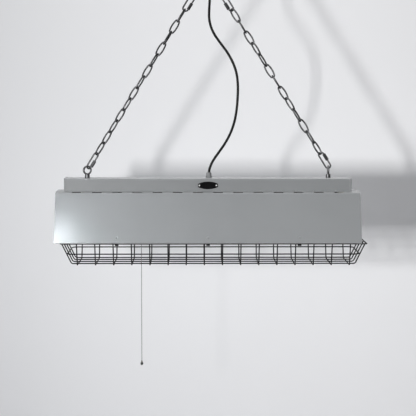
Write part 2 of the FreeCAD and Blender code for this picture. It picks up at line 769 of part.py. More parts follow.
def reflector_shell():
    sheet = REFLECTOR_SHEET
    half = shifted(OUTER_LINE, sheet)[3:5] + hem_points()
    inner = mirrored(half) + half
    bend = REFLECTOR_BEND
    outer_radii = [0] + [bend + sheet] * 4 + [0]
    inner_radii = [0, 0, 0] + [bend] * 4 + [0, 0, 0]
    x = REFLECTOR_LENGTH / 2
    shell = prism_x(OUTER_LINE + inner[::-1], outer_radii + inner_radii, -x, x)
    low = FOLD_Z - sheet - CUT_OVER
    depth = SHOULDER_DROP + sheet + 2 * CUT_OVER
    tools = []
    for side in (-1, 1):
        near = SHOULDER_HALF_WIDTH - SLOT_FROM_FOLD - SLOT_WIDTH
        y = near if side > 0 else -near - SLOT_WIDTH
        for i in range(SLOT_COUNT):
            middle = (i - (SLOT_COUNT - 1) / 2) * SLOT_PITCH
            x_low = middle - SLOT_LENGTH / 2
            corners = [V(x_low, y, low), V(x_low + SLOT_LENGTH, y, low)]
            corners += [V(x_low + SLOT_LENGTH, y + SLOT_WIDTH, low), V(x_low, y + SLOT_WIDTH, low)]
            slot = Part.Face(rounded_loop(corners, [SLOT_CORNER] * 4))
            tools.append(slot.extrude(Z_AXIS * depth))
    for x_hole in (-HOLDER_FAR, HOLDER_FAR, STARTER_X, SWITCH_X):
        y_hole = SWITCH_INNER_Y if x_hole == SWITCH_X else 0
        tools.append(rod(WIRE_HOLE, V(x_hole, y_hole, FLAT_UNDER), Z_AXIS, sheet))
    for side in (-1, 1):
        tools.append(rod(SCREW_THREAD, V(side * BRIDGE_SPACING / 2, 0, FLAT_UNDER), Z_AXIS, sheet))
        for i in (-1, 0, 1):
            tools.append(clip_rivet_hole(side, i))
    return cut_all(shell, tools)


def reflector_end_plate(side):
    """A flat end with a flange that lies inside the shell; side is +1 on the right."""
    outer = inner_line(REFLECTOR_SHEET)
    inner = inner_line(REFLECTOR_SHEET + END_SHEET)
    foot = [on_skirt(HEM_HEIGHT, 2 * REFLECTOR_SHEET), on_skirt(0, 2 * REFLECTOR_SHEET)]
    end = side * REFLECTOR_LENGTH / 2
    face_points = mirrored(foot) + outer + foot
    bend = REFLECTOR_BEND
    plate = prism_x(face_points, [0, 0, 0] + [bend] * 4 + [0, 0, 0], end, end - side * END_SHEET)
    rim_points = outer + inner[::-1]
    radii = [0] + [bend] * 4 + [0, 0] + [max(bend - END_SHEET, 0)] * 4 + [0]
    flange = prism_x(rim_points, radii, end - side * END_SHEET, end - side * END_FLANGE)
    return plate.fuse(flange).removeSplitter()


# What holds the reflector to the spine


def spine_bridge(side):
    half = SPINE_WIDTH / 2 - SPINE_SHEET
    top = FLAT_TOP + BRIDGE_TAB
    outer = [(-half, top), (-half, FLAT_TOP), (half, FLAT_TOP), (half, top)]
    inner = shifted(outer, -BRIDGE_SHEET)
    bend = BRIDGE_SHEET
    radii = [0, 2 * bend, 2 * bend, 0, 0, bend, bend, 0]
    middle = side * BRIDGE_SPACING / 2
    bridge = prism_x(outer + inner[::-1], radii, middle - BRIDGE_WIDTH / 2, middle + BRIDGE_WIDTH / 2)
    return bridge.cut(rod(SCREW_THREAD, V(middle, 0, FLAT_TOP), Z_AXIS, BRIDGE_SHEET))


def reflector_screw(side):
    """A round-headed screw from below, through the flat into its bridge."""
    seat = V(side * BRIDGE_SPACING / 2, 0, FLAT_UNDER)
    head = rod(SCREW_HEAD, seat, -Z_AXIS, SCREW_HEAD_HEIGHT)
    slot_low = seat + V(-SCREW_HEAD / 2, -SCREW_SLOT_WIDTH / 2, -SCREW_HEAD_HEIGHT)
    slot = block(SCREW_HEAD, SCREW_SLOT_WIDTH, SCREW_SLOT_DEPTH, slot_low)
    thread = rod(SCREW_THREAD, seat, Z_AXIS, REFLECTOR_SHEET + BRIDGE_SHEET + SCREW_TAIL)
    return head.cut(slot).fuse(thread)


# Guard and its clips

CLIP_THROAT = GUARD_WIRE + 2 * CLIP_PLAY
HEM_LOW = on_skirt(0, 2 * REFLECTOR_SHEET)[1]
RIM_Z = HEM_LOW - GUARD_WIRE / 2
BOTTOM_Z = RIM_Z - GUARD_DEPTH
WELD_STEP = GUARD_WIRE - GUARD_WELD


def side_slope():
    """The guard's long sides, from rim to bottom, as half width lost for each millimetre down."""
    return (GUARD_HALF_WIDTH - GUARD_BOTTOM_HALF_WIDTH) / (GUARD_DEPTH + WELD_STEP)


def end_slope():
    return (GUARD_LENGTH - GUARD_BOTTOM_LENGTH) / 2 / GUARD_DEPTH


def guard_rim():
    rim = wire_loop(GUARD_LENGTH, 2 * GUARD_HALF_WIDTH, GUARD_RIM_CORNER, GUARD_WIRE)
    return rim.translated(V(GUARD_SHIFT, 0, RIM_Z))


def guard_mid_ring():
    """Lies inside the cross wires and the ends of the long wires, and is welded to both."""
    inset_y = WELD_STEP * math.hypot(1, side_slope())
    inset_x = WELD_STEP * math.hypot(1, end_slope())
    half_width = GUARD_HALF_WIDTH - side_slope() * MID_RING_DROP - inset_y
    half_length = GUARD_LENGTH / 2 - end_slope() * MID_RING_DROP - inset_x
    ring = wire_loop(2 * half_length, 2 * half_width, MID_RING_CORNER, GUARD_WIRE)
    return ring.translated(V(GUARD_SHIFT, 0, RIM_Z - MID_RING_DROP))


def weld_end(corner, rim_point):
    """Where a wire that points at the rim's middle stops, a little inside the rim."""
    way = (corner - rim_point).normalize()
    return rim_point + way * (GUARD_WIRE / 2 - GUARD_WELD)


def trough_wire(corner, rim_point, mirror):
    """A wire bent up at both ends; mirror is the factor that turns one end into the other."""
    points = [weld_end(corner, rim_point), corner]
    other = [V(p.x * mirror.x, p.y * mirror.y, p.z) for p in reversed(points)]
    return swept(rounded_path(points + other, [GUARD_BEND] * 2), GUARD_WIRE)


def guard_long_wires():
    wires = []
    for i in range(LONG_WIRE_COUNT):
        y = (i - (LONG_WIRE_COUNT - 1) / 2) * LONG_WIRE_SPACING
        corner = V(GUARD_BOTTOM_LENGTH / 2, y, BOTTOM_Z)
        wire = trough_wire(corner, V(GUARD_LENGTH / 2, y, RIM_Z), V(-1, 1, 1))
        wires.append(wire.translated(V(GUARD_SHIFT, 0, 0)))
    return wires


def guard_cross_wires():
    wires = []
    for i in range(CROSS_WIRE_COUNT):
        x = GUARD_SHIFT + (i - (CROSS_WIRE_COUNT - 1) / 2) * CROSS_WIRE_SPACING
        corner = V(x, GUARD_BOTTOM_HALF_WIDTH, BOTTOM_Z - WELD_STEP)
        wires.append(trough_wire(corner, V(x, GUARD_HALF_WIDTH, RIM_Z), V(1, -1, 1)))
    return wires


def clip_middle(i):
    return i * CLIP_SPACING


def guard_clip(side, i):
    """A tongue riveted inside the skirt, with a spring channel on its lower end over the rim wire."""
    half = CLIP_THROAT / 2
    top = RIM_Z + half
    low = RIM_Z - CLIP_LEG
    y = GUARD_HALF_WIDTH
    lap = 2 * REFLECTOR_SHEET
    inside = lap + CLIP_SHEET
    tongue = [on_skirt(CLIP_GAP, lap), on_skirt(CLIP_TONGUE, lap)]
    tongue += [on_skirt(CLIP_TONGUE, inside), on_skirt(CLIP_GAP, inside)]
    outer = y + half + CLIP_SHEET
    inner = y - half - CLIP_SHEET
    roof = top + CLIP_SHEET
    channel = [(outer, low), (outer, roof), (inner, roof), (inner, low)]
    channel += [(y - half, low), (y - half, top), (y + half, top), (y + half, low)]
    x = clip_middle(i) - CLIP_WIDTH / 2
    parts = []
    for points in (tongue, channel):
        facing = [(side * a, b) for a, b in points]
        parts.append(prism_x(facing, [0] * len(points), x, x + CLIP_WIDTH))
    clip = parts[0].fuse(parts[1]).removeSplitter()
    return clip.cut(clip_rivet_hole(side, i))


def skirt_axis(side, up, deep):
    """A point of a skirt and its inward direction; side is +1 at the rear."""
    y, z = on_skirt(up, deep)
    return V(0, side * y, z), V(0, side * SKIRT_IN[0], SKIRT_IN[1])


def clip_rivet_hole(side, i):
    start, inward = skirt_axis(side, CLIP_RIVET_HEIGHT, -CUT_OVER)
    depth = 2 * REFLECTOR_SHEET + CLIP_SHEET + 2 * CUT_OVER
    return rod(CLIP_RIVET_SHANK, start + X_AXIS * clip_middle(i), inward, depth)


def clip_rivet(side, i):
    start, inward = skirt_axis(side, CLIP_RIVET_HEIGHT, 0)
    start = start + X_AXIS * clip_middle(i)
    head = dome(CLIP_RIVET_HEAD, CLIP_RIVET_HEAD_HEIGHT, start, -inward)
    stem = rod(CLIP_RIVET_SHANK, start, inward, 2 * REFLECTOR_SHEET + CLIP_SHEET)
    return head.fuse(stem)


# Lamp, lampholders and starter

LAMP_Z = FLAT_TOP - LAMP_DROP
HOLDER_NEAR = LAMP_LENGTH / 2 + HOLDER_GAP
HOLDER_FAR = HOLDER_NEAR + HOLDER_DEPTH / 2


def lamp_tube():
    length = LAMP_LENGTH - 2 * LAMP_CAP_LENGTH
    start = V(-length / 2, 0, LAMP_Z)
    glass = rod(LAMP_DIAMETER, start, X_AXIS, length)
    return glass.cut(rod(LAMP_DIAMETER - 2 * LAMP_WALL, start, X_AXIS, length))


def lamp_cap(side):
    """A cup on one end of the tube, its open edge against the glass."""
    start = V(side * (LAMP_LENGTH / 2 - LAMP_CAP_LENGTH), 0, LAMP_Z)
    out = X_AXIS * side
    cup = rod(LAMP_DIAMETER, start, out, LAMP_CAP_LENGTH)
    hollow = rod(LAMP_DIAMETER - 2 * LAMP_WALL, start, out, LAMP_CAP_LENGTH - LAMP_CAP_WALL)
    tools = [hollow]
    for way in (-1, 1):
        at = V(side * LAMP_LENGTH / 2, way * PIN_SPACING / 2, LAMP_Z)
        tools.append(rod(PIN_DIAMETER, at, -out, LAMP_CAP_WALL))
    return cut_all(cup, tools)


def lamp_pin(side, way):
    at = V(side * (LAMP_LENGTH / 2 - LAMP_CAP_WALL), way * PIN_SPACING / 2, LAMP_Z)
    return rod(PIN_DIAMETER, at, X_AXIS * side, PIN_LENGTH + LAMP_CAP_WALL)


def lampholder(side):
    """A block from the reflector's flat down past the lamp's axis, with a round seat for the rotor."""
    half = HOLDER_WIDTH / 2
    start = side * HOLDER_NEAR
    out = X_AXIS * side
    neck = prism_x(
        [(-half, LAMP_Z), (half, LAMP_Z), (half, FLAT_UNDER), (-half, FLAT_UNDER)],
        [0] * 4, start, start + side * HOLDER_DEPTH,
    )
    head = rod(HOLDER_WIDTH, V(start, 0, LAMP_Z), out, HOLDER_DEPTH)
    depth = ROTOR_DEPTH + 2 * ROTOR_PLAY
    seat = rod(ROTOR_DIAMETER + 2 * ROTOR_PLAY, V(start, 0, LAMP_Z), out, depth)
    entry_low = V(min(start, start + side * depth), -HOLDER_SLOT / 2, LAMP_Z - HOLDER_WIDTH)
    entry = block(depth, HOLDER_SLOT, HOLDER_WIDTH, entry_low)
    return cut_all(neck.fuse(head).removeSplitter(), [seat, entry])


def lampholder_rotor(side):
    """A disc with one slot across its face, as deep as the pins are long."""
    start = side * (HOLDER_NEAR + ROTOR_PLAY)
    disc = rod(ROTOR_DIAMETER, V(start, 0, LAMP_Z), X_AXIS * side, ROTOR_DEPTH)
    depth = PIN_LENGTH + HOLDER_GAP
    slot_low = V(min(start, start + side * depth), -ROTOR_DIAMETER / 2, LAMP_Z - ROTOR_SLOT / 2)
    return disc.cut(block(depth, ROTOR_DIAMETER, ROTOR_SLOT, slot_low))


def starter_holder():
    """A block under the flat with a round seat for the can and a deeper pocket for its two pins."""
    side = STARTER_HOLDER_SIDE
    low = V(STARTER_X, 0, FLAT_UNDER - STARTER_HOLDER_HEIGHT)
    holder = block(side, side, STARTER_HOLDER_HEIGHT, low - V(side / 2, side / 2, 0))
    seat = rod(STARTER_DIAMETER + 2 * STARTER_PLAY, low, Z_AXIS, STARTER_SEAT + STARTER_PLAY)
    pocket_width = STARTER_PIN_SPACING + STARTER_PIN + 2 * STARTER_PLAY
    pocket = rod(pocket_width, low, Z_AXIS, STARTER_SEAT + STARTER_PIN_LENGTH + 2 * STARTER_PLAY)
    return cut_all(holder, [seat, pocket])


def starter():
    top = V(STARTER_X, 0, FLAT_UNDER - STARTER_HOLDER_HEIGHT + STARTER_SEAT)
    can = rod(STARTER_DIAMETER, top, -Z_AXIS, STARTER_LENGTH)
    pins = []
    for way in (-1, 1):
        foot = top + Y_AXIS * (way * STARTER_PIN_SPACING / 2)
        pins.append(rod(STARTER_PIN, foot, Z_AXIS, STARTER_PIN_LENGTH))
    return can.multiFuse(pins)


# Control gear


def choke():
    """A coil stack hung from the spine's roof, with a foot at each end."""
    low = V(CHOKE_X - CHOKE_LENGTH / 2, CHOKE_Y - CHOKE_WIDTH / 2, SPINE_ROOF - CHOKE_HEIGHT)
    core = block(CHOKE_LENGTH, CHOKE_WIDTH, CHOKE_HEIGHT, low)
    foot_low = low + V(-CHOKE_FOOT, 0, CHOKE_HEIGHT - CHOKE_FOOT_THICKNESS)
    foot = block(CHOKE_LENGTH + 2 * CHOKE_FOOT, CHOKE_WIDTH, CHOKE_FOOT_THICKNESS, foot_low)
    return core.fuse(foot).removeSplitter()


def capacitor_axis():
    return V(CAPACITOR_X, 0, SPINE_ROOF - CAPACITOR_CLIP_SHEET - CAPACITOR_DIAMETER / 2)


def capacitor():
    start = capacitor_axis() - X_AXIS * CAPACITOR_LENGTH / 2
    can = rod(CAPACITOR_DIAMETER, start, X_AXIS, CAPACITOR_LENGTH)
    return can.fuse(rod(CAPACITOR_STUD, start, -X_AXIS, CAPACITOR_STUD_LENGTH))


def capacitor_clip():
    """A band round the capacitor with its back on the spine's roof."""
    start = capacitor_axis() - X_AXIS * CAPACITOR_CLIP_WIDTH / 2
    band = rod(CAPACITOR_DIAMETER + 2 * CAPACITOR_CLIP_SHEET, start, X_AXIS, CAPACITOR_CLIP_WIDTH)
    pad = CAPACITOR_DIAMETER / 2
    low = start + V(0, -pad / 2, CAPACITOR_DIAMETER / 2)
    back = block(CAPACITOR_CLIP_WIDTH, pad, CAPACITOR_CLIP_SHEET, low)
    return band.fuse(back).cut(rod(CAPACITOR_DIAMETER, start, X_AXIS, CAPACITOR_CLIP_WIDTH))


def terminal_block():
    low = V(TERMINAL_X - TERMINAL_LENGTH / 2, -TERMINAL_WIDTH / 2, SPINE_ROOF - TERMINAL_HEIGHT)
    body = block(TERMINAL_LENGTH, TERMINAL_WIDTH, TERMINAL_HEIGHT, low)
    step = TERMINAL_LENGTH / TERMINAL_WAYS
    bores = []
    for i in range(TERMINAL_WAYS):
        at = low + V(step * (i + 0.5), 0, TERMINAL_HEIGHT / 2)
        bores.append(rod(TERMINAL_BORE, at, Y_AXIS, TERMINAL_WIDTH))
    return cut_all(body, bores)


def earth_stud():
    """A stud through the spine's rear wall with its nut inside."""
    wall = V(EARTH_X, SPINE_WIDTH / 2, SPINE_TOP - SPINE_HEIGHT / 2)
    stud = rod(EARTH_STUD, wall, -Y_AXIS, EARTH_LENGTH)
    nut = hexagon(EARTH_NUT_FLATS, EARTH_NUT_HEIGHT, V(0, 0, 0))
    nut.rotate(V(0, 0, 0), X_AXIS, 90)
    return stud.fuse(nut.translated(wall - Y_AXIS * SPINE_SHEET))


def internal_lead(x_from, x_end, side):
    """A lead that lies on the bridges: out to one side at x_from, along the spine, and in to its end."""
    z = FLAT_TOP + BRIDGE_SHEET + LEAD_GAP + LEAD_DIAMETER / 2
    x_turn = x_end - math.copysign(WIRE_HOLE, x_end)
    points = [
        V(x_from, side * LEAD_END_Y, z),
        V(x_from, side * LEAD_Y, z),
        V(x_turn, side * LEAD_Y, z),
        V(x_end, side * LEAD_END_Y, z),
    ]
    return swept(rounded_path(points, [LEAD_BEND] * 2), LEAD_DIAMETER)


def internal_wiring():
    """Two leads to each lampholder, from under the ends of the terminal block."""
    leads = []
    for end in (-1, 1):
        for side in (-1, 1):
            leads.append(internal_lead(TERMINAL_X + end * TERMINAL_LENGTH / 2, end * HOLDER_FAR, side))
    return leads


# Pull switch

SWITCH_OUTER_Y = SWITCH_INNER_Y - SWITCH_DEPTH
SWITCH_LID_TOP = FLAT_UNDER - SWITCH_STEP
SWITCH_TOP = SWITCH_LID_TOP - SWITCH_LID
LEVER_Z = SWITCH_TOP - LEVER_DROP
LEVER_Y = PULL_Y + LEVER_ARM


def switch_lid():
    """The switch's base, with a raised pad that seats on the reflector's flat."""
    x = SWITCH_X - SWITCH_LENGTH / 2
    plate = block(SWITCH_LENGTH, SWITCH_DEPTH, SWITCH_LID, V(x, SWITCH_OUTER_Y, SWITCH_TOP))
    pad_width = SPINE_WIDTH / 2 - REFLECTOR_BEND + SWITCH_INNER_Y
    pad = block(SWITCH_LENGTH, pad_width, SWITCH_STEP, V(x, SWITCH_INNER_Y - pad_width, SWITCH_LID_TOP))
    return plate.fuse(pad).removeSplitter()


def switch_body():
    wall = SWITCH_WALL
    x = SWITCH_X - SWITCH_LENGTH / 2
    low = V(x, SWITCH_OUTER_Y, SWITCH_TOP - SWITCH_HEIGHT)
    case = block(SWITCH_LENGTH, SWITCH_DEPTH, SWITCH_HEIGHT, low)
    room_length = SWITCH_LENGTH - 2 * wall
    room_depth = SWITCH_DEPTH - 2 * wall
    room = block(room_length, room_depth, SWITCH_HEIGHT - wall, low + V(wall, wall, wall))
    nozzle_low = V(SWITCH_X, PULL_Y, low.z - SWITCH_NOZZLE_LENGTH)
    nozzle = Part.makeCone(SWITCH_NOZZLE_TIP / 2, SWITCH_NOZZLE / 2, SWITCH_NOZZLE_LENGTH, nozzle_low)
    bore = rod(PULL_DIAMETER + 2 * PULL_CLEARANCE, nozzle_low, Z_AXIS, SWITCH_NOZZLE_LENGTH + wall)
    pin_hole = rod(LEVER_PIN, V(x, LEVER_Y, LEVER_Z), X_AXIS, SWITCH_LENGTH)
    return cut_all(case.fuse(nozzle), [room, bore, pin_hole])


def lever_pin():
    return rod(LEVER_PIN, V(SWITCH_X - SWITCH_LENGTH / 2, LEVER_Y, LEVER_Z), X_AXIS, SWITCH_LENGTH)


def switch_lever():
    """A forked arm on the pin; the cord hangs in its fork."""
    x = SWITCH_X - LEVER_WIDTH / 2
    eye = rod(LEVER_EYE, V(x, LEVER_Y, LEVER_Z), X_AXIS, LEVER_WIDTH)
    reach = LEVER_ARM + LEVER_TIP
    arm = block(LEVER_WIDTH, reach, LEVER_THICKNESS, V(x, LEVER_Y - reach, LEVER_Z - LEVER_THICKNESS / 2))
    fork_low = V(SWITCH_X - LEVER_FORK / 2, LEVER_Y - reach, LEVER_Z - LEVER_THICKNESS)
    fork = block(LEVER_FORK, 2 * LEVER_TIP, 2 * LEVER_THICKNESS, fork_low)
    bore = rod(LEVER_PIN + 2 * LEVER_PIN_CLEARANCE, V(x, LEVER_Y, LEVER_Z), X_AXIS, LEVER_WIDTH)
    return cut_all(eye.fuse(arm), [fork, bore])


FERRULE_Z = LEVER_Z + LEVER_THICKNESS / 2 + FERRULE_GAP
BEAD_TOP = SPINE_TOP - PULL_BOTTOM


def pull_ferrule():
    return rod(FERRULE_DIAMETER, V(SWITCH_X, PULL_Y, FERRULE_Z), Z_AXIS, FERRULE_HEIGHT)


def pull_cord():
    return rod(PULL_DIAMETER, V(SWITCH_X, PULL_Y, BEAD_TOP), Z_AXIS, FERRULE_Z - BEAD_TOP)


def pull_bead():
    """A turned bead: a cone under the cord, swelling to a round bottom."""
    radius = BEAD_DIAMETER / 2
    low = V(SWITCH_X, PULL_Y, BEAD_TOP - BEAD_HEIGHT)
    bowl = Part.makeSphere(radius, low + Z_AXIS * radius, -Z_AXIS, 0, 90)
    cone = Part.makeCone(radius, BEAD_NECK / 2, BEAD_HEIGHT - radius, low + Z_AXIS * radius)
    return bowl.fuse(cone)


# Power cord


def power_cord():
    points = [V(x, 0, SPINE_TOP + z) for x, z in CORD_ROUTE]
    radii = []
    for before, corner, after in zip(points, points[1:], points[2:]):
        to_before = before - corner
        to_after = after - corner
        half_turn = (math.pi - to_before.getAngle(to_after)) / 2
        shorter = min(to_before.Length, to_after.Length)
        radii.append(CORD_ARC_SHARE * shorter / math.tan(half_turn))
    path = rounded_path(points, radii)
    cord = swept(path, CORD_DIAMETER)
    print("cord radii:", [round(radius) for radius in radii])
    section = math.pi * CORD_DIAMETER**2 / 4
    print("cord length:", round(path.Length, 1))
    print("cord volume over section times length:", round(cord.Volume / (section * path.Length), 5))
    return cord


# Every sub-part, one file each


def main():
    os.makedirs("parts", exist_ok=True)
    sides = (-1, 1)

    save("ceiling_plate", [ceiling_plate()])
    save("left_ceiling_eye", [ceiling_eye(-CEILING_EYE_LEFT)])
    save("right_ceiling_eye", [ceiling_eye(CEILING_EYE_RIGHT)])
    save("ceiling_cord_grip", [ceiling_cord_grip()])

    save("left_chain", chain(LEFT_LINE, left_rolls()))
    save("right_chain", chain(RIGHT_LINE, right_rolls()))
    quick_links = (
        ("left_lower", LEFT_LINE.placement(LOWER_QUICK_AT, LEFT_LOWER_ROLL), 1, -1),
        ("left_upper", LEFT_LINE.placement(UPPER_QUICK_AT, LEFT_UPPER_ROLL), 1, -1),
        ("right_lower", RIGHT_LINE.placement(LOWER_QUICK_AT, RIGHT_LOWER_ROLL), 1, 1),
        ("right_upper", RIGHT_LINE.placement(UPPER_QUICK_AT, RIGHT_UPPER_ROLL), -1, -1),
    )
    for name, placement, side, end in quick_links:
        save(name + "_quick_link", [placed(quick_link(side, end), placement)])
        save(name + "_sleeve", [placed(quick_sleeve(side, end), placement)])
    save("power_cord", [power_cord()])

    shank = SPINE_SHEET + WASHER_THICKNESS + NUT_HEIGHT + THREAD_END
    save("left_eye_bolt", [eye_bolt(EYE_LEFT_TURN, shank).translated(V(-EYE_SPACING / 2, 0, SPINE_TOP))])
    save("right_eye_bolt", [eye_bolt(EYE_RIGHT_TURN, shank).translated(V(EYE_SPACING / 2, 0, SPINE_TOP))])
    save("eye_washers", [eye_washer(side) for side in sides])
    save("eye_nuts", [eye_nut(side) for side in sides])
    save("spine_channel", [spine_channel()])
    save("spine_end_caps", [spine_end_cap(side) for side in sides])
    save("badge_plate", [badge_plate()])
    save("badge_rivets", [badge_rivet(side) for side in sides])
    save("gland_body", [gland_body()])
    save("gland_cap", [gland_cap()])
    save("gland_locknut", [gland_locknut()])

    save("reflector_shell", [reflector_shell()])
    save("left_end_plate", [reflector_end_plate(-1)])
    save("right_end_plate", [reflector_end_plate(1)])
    save("spine_bridges", [spine_bridge(side) for side in sides])
    save("reflector_screws", [reflector_screw(side) for side in sides])

    save("guard_rim", [guard_rim()])
    save("guard_mid_ring", [guard_mid_ring()])
    save("guard_long_wires", guard_long_wires())
    save("guard_cross_wires", guard_cross_wires())
    save("front_guard_clips", [guard_clip(-1, i) for i in (-1, 0, 1)])
    save("rear_guard_clips", [guard_clip(1, i) for i in (-1, 0, 1)])
    save("clip_rivets", [clip_rivet(side, i) for side in sides for i in (-1, 0, 1)])

    save("lamp_tube", [lamp_tube()])
    save("lamp_caps", [lamp_cap(side) for side in sides])
    save("lamp_pins", [lamp_pin(side, way) for side in sides for way in (-1, 1)])
    save("left_lampholder", [lampholder(-1)])
    save("right_lampholder", [lampholder(1)])
    save("lampholder_rotors", [lampholder_rotor(side) for side in sides])
    save("starter_holder", [starter_holder()])
    save("starter", [starter()])

    save("choke", [choke()])
    save("capacitor", [capacitor()])
    save("capacitor_clip", [capacitor_clip()])
    save("terminal_block", [terminal_block()])
    save("earth_stud", [earth_stud()])
    save("internal_wiring", internal_wiring())

    save("switch_lid", [switch_lid()])
    save("switch_body", [switch_body()])
    save("switch_lever", [switch_lever()])
    save("lever_pin", [lever_pin()])
    save("pull_ferrule", [pull_ferrule()])
    save("pull_cord", [pull_cord()])
    save("pull_bead", [pull_bead()])
    print("spine top at", round(SPINE_TOP, 2), "and swing axis at", round(SPINE_TOP + SWING_HEIGHT, 2))
    print("right ceiling eye at", round(CEILING_EYE_RIGHT, 2))


main()
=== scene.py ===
"""A workshop pendant light on two chains: the finish of every piece, its cords, and the studio round it.

Metres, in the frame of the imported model: +Z up, +X along the light, -Y its front, and the origin in the
middle of the ceiling plate's top face.
"""

import bpy
import json
import math
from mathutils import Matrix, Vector


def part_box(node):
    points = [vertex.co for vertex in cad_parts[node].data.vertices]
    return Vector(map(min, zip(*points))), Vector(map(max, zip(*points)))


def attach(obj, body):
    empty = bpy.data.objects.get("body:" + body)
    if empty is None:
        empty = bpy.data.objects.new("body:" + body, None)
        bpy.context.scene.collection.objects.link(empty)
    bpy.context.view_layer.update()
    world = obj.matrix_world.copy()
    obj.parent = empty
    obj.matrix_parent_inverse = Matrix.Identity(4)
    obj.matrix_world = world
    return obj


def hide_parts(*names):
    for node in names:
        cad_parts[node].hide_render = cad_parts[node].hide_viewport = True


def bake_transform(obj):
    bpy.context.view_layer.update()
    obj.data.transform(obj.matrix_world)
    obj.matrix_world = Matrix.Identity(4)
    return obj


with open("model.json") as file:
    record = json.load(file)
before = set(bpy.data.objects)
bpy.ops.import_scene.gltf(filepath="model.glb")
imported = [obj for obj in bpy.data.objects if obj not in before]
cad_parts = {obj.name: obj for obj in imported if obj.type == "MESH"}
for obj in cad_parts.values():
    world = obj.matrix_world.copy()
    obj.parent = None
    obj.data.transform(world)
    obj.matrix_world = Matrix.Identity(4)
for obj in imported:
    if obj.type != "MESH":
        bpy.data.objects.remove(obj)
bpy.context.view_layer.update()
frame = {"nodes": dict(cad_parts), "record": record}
nodes = frame["nodes"]
scene = bpy.context.scene

# Places that come from the frame
SPINE_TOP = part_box("spine_channel")[1].z
REFLECTOR_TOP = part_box("reflector_shell")[1].z
TUBE_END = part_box("lamp_tube")[1].x
PULL_X = sum(corner.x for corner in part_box("pull_cord")) / 2
PULL_Y = sum(corner.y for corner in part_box("pull_cord")) / 2

# Power cord: its route is in the plane Y = 0, as X and height above the spine's top. It ends in the mouth
# of the ceiling grip, at the height of the swing's axis, where it bends and is squeezed a little.
GLAND_X = 0.0024
CORD_DIAMETER = 0.0062
CORD_ROUTE = (
    (GLAND_X, 0.002),
    (GLAND_X, 0.0155),
    (0.0062, 0.029),
    (0.0136, 0.044),
    (0.0256, 0.061),
    (0.0444, 0.087),
    (0.060, 0.118),
    (0.0704, 0.156),
    (0.0745, 0.203),
    (0.0744, 0.241),
    (0.0676, 0.274),
    (0.0502, 0.308),
    (0.0298, 0.334),
    (0.0112, 0.361),
    (0.0032, 0.388),
    (0.003, 0.411),
    (0.0046, 0.433),
    (0.005, 0.451),
    (0.005, 0.4555),
)
CORD_STEPS = 8
CORD_SIDES = 20
CORD_SQUEEZE = 0.12
CORD_SQUEEZE_LENGTH = 0.005

# Pull cord: a string of twisted strands
PULL_DIAMETER = 0.0015
PULL_SIDES = 18
PULL_STRANDS = 3
PULL_STRAND_DEPTH = 0.13
PULL_TWIST_PITCH = 0.009
PULL_STEP = 0.0006

# Bead on the string's end; its neck goes up in shares of its height and of the ball's radius
BEAD_SIDES = 40
BEAD_STEPS = 10
BEAD_DIMPLE = 0.0004
BEAD_BORE_PLAY = 0.0001
BEAD_BLACK_HEIGHT = 0.0062
BEAD_NECK = (
    (0.2, 0.93),
    (0.4, 0.76),
    (0.58, 0.58),
    (0.74, 0.46),
    (0.86, 0.42),
    (0.89, 0.5),
    (0.97, 0.5),
    (1.0, 0.44),
)

# Gland's cap: shares of its radius and height, and how deep its ribs are there
CAP_SIDES = 192
CAP_RIBS = 24
CAP_RIB_DEPTH = 0.0005
CAP_BORE_PLAY = 0.00025
CAP_PROFILE = (
    (0.9, 0.0, 0.0),
    (0.97, 0.04, 0.0),
    (0.97, 0.1, 0.0),
    (1.0, 0.13, CAP_RIB_DEPTH),
    (1.0, 0.66, CAP_RIB_DEPTH),
    (0.985, 0.72, CAP_RIB_DEPTH),
    (0.95, 0.78, 0.0),
    (0.91, 0.86, 0.0),
    (0.85, 0.93, 0.0),
    (0.77, 0.98, 0.0),
    (0.68, 1.0, 0.0),
)

# White lining: a shell's face looks down, and an end plate's face looks out, where its normal is past these
LOOKS_DOWN = -0.2
LOOKS_OUT = 0.5

# Colours that have a name, and heights below the reflector's top between which a painted shade inside the
# reflector grows from none to full
GREY = (0.236, 0.243, 0.248)
# Edge colour of the grey enamel: partly wear, partly a painted highlight along its folds and edges
EDGE_WEAR_AND_HIGHLIGHT_GREY = (0.5, 0.505, 0.51)
RUBBED_SHEET = (0.17, 0.165, 0.16)
RUST = (0.085, 0.043, 0.022)
OFF_WHITE = (0.74, 0.73, 0.7)
AGED_POWDER = (0.45, 0.43, 0.4)
# A dark colour painted inside the reflector near its top, as the shade there
PAINTED_SHADE = (0.045, 0.042, 0.038)
SHADE_BELOW_TOP = (0.05, 0.012)

# Surfaces: the range that holds most of a noise's values, radii of edges, how far a rounded normal turns
# from the flat one (as a cosine) where an edge starts and where it is full, and levels of gloss
MIDDLE = (0.3, 0.7)
PAINT_EDGE = 0.0012
STEEL_EDGE = 0.0004
PLASTIC_EDGE = 0.0007
EDGE_TURN = (0.97, 0.8)
EDGE_SAMPLES = 4
PLAIN_GLOSS = 0.5
DULL_GLOSS = 0.2
STEEL_GRAIN = 260.0
RUST_METAL_SHARE = 0.27
TUBE_AGED_LENGTH = 0.035
YELLOWING = (1.0, 1.3, 2.6)

# Camera: where the photograph was taken from, and its angle of view as focal length over picture width
CAMERA_X = -0.032
CAMERA_Y = -3.72
CAMERA_ABOVE_SPINE = 0.222
CAMERA_TILT = 4.57
CAMERA_YAW = 0.5
FOCAL_OVER_WIDTH = 1500 / 416
SENSOR = 36.0

# Studio
WALL_Y = 0.42
FLOOR_Z = -1.7
STAGE_SIDE = 9.0
STAGE_CURVE = 0.5
STAGE_CURVE_STEPS = 12
STAGE_COLOUR = (0.84, 0.84, 0.853)
WORLD_COLOUR = (0.95, 0.97, 1.0)
WORLD_STRENGTH = 0.085
WHITE_LIGHT = (1.0, 1.0, 1.0)
PALE_BLUE_LIGHT = (0.88, 0.945, 1.0)
LIGHT_MIDDLE = (0.0, 0.0, -0.55)
SKIRT_LEFT = (-0.37, -0.1, -0.63)
WALL_RIGHT = (0.93, WALL_Y, -0.63)


# Node helpers


